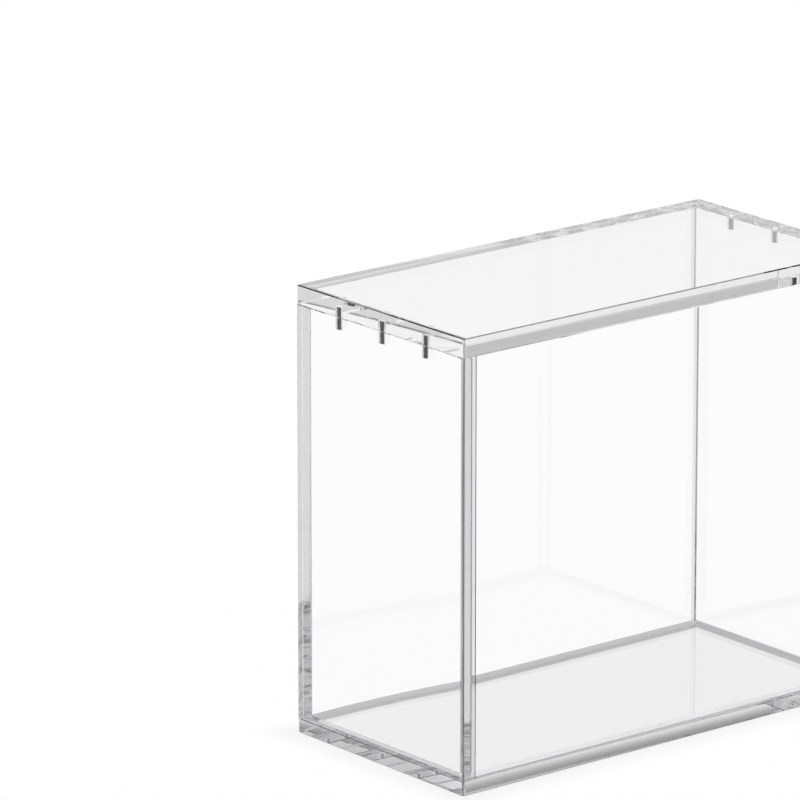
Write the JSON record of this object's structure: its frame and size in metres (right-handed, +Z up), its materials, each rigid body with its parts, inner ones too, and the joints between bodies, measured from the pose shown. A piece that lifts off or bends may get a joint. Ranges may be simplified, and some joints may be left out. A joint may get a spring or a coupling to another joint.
{
  "type": "trading card display case",
  "caption": "Clear acrylic box with cemented walls and a thick lift-off lid held by small bar magnets, for showing one boxed set of cards.",
  "frame": {"origin": "middle of the footprint, on the surface that the case stands on", "axes": "+X along the long side, towards the right end; +Y along the depth, from the front panel to the back panel; +Z up"},
  "size_m": [0.21, 0.103, 0.185],
  "materials": {
    "clear_acrylic": "clear cast acrylic sheet with polished edges",
    "clear_acrylic_lid": "clear cast acrylic sheet, thicker, with polished and bevelled edges",
    "nickel_magnet": "bright nickel plate on a sintered magnet"
  },
  "bodies": {
    "case": {"base_plate": "clear_acrylic", "front_panel": "clear_acrylic", "back_panel": "clear_acrylic", "left_end_panel": "clear_acrylic", "right_end_panel": "clear_acrylic", "wall_magnet_left_front": "nickel_magnet", "wall_magnet_left_middle": "nickel_magnet", "wall_magnet_left_back": "nickel_magnet", "wall_magnet_right_front": "nickel_magnet", "wall_magnet_right_middle": "nickel_magnet", "wall_magnet_right_back": "nickel_magnet"},
    "lid": {"lid_plate": "clear_acrylic_lid", "lid_magnet_left_front": "nickel_magnet", "lid_magnet_left_middle": "nickel_magnet", "lid_magnet_left_back": "nickel_magnet", "lid_magnet_right_front": "nickel_magnet", "lid_magnet_right_middle": "nickel_magnet", "lid_magnet_right_back": "nickel_magnet"}
  },
  "joints": [
    {"name": "lid_lift", "type": "slide", "parent": "case", "child": "lid", "axis": [0, 0, 1], "range_m": [0, 0.18]}
  ]
}
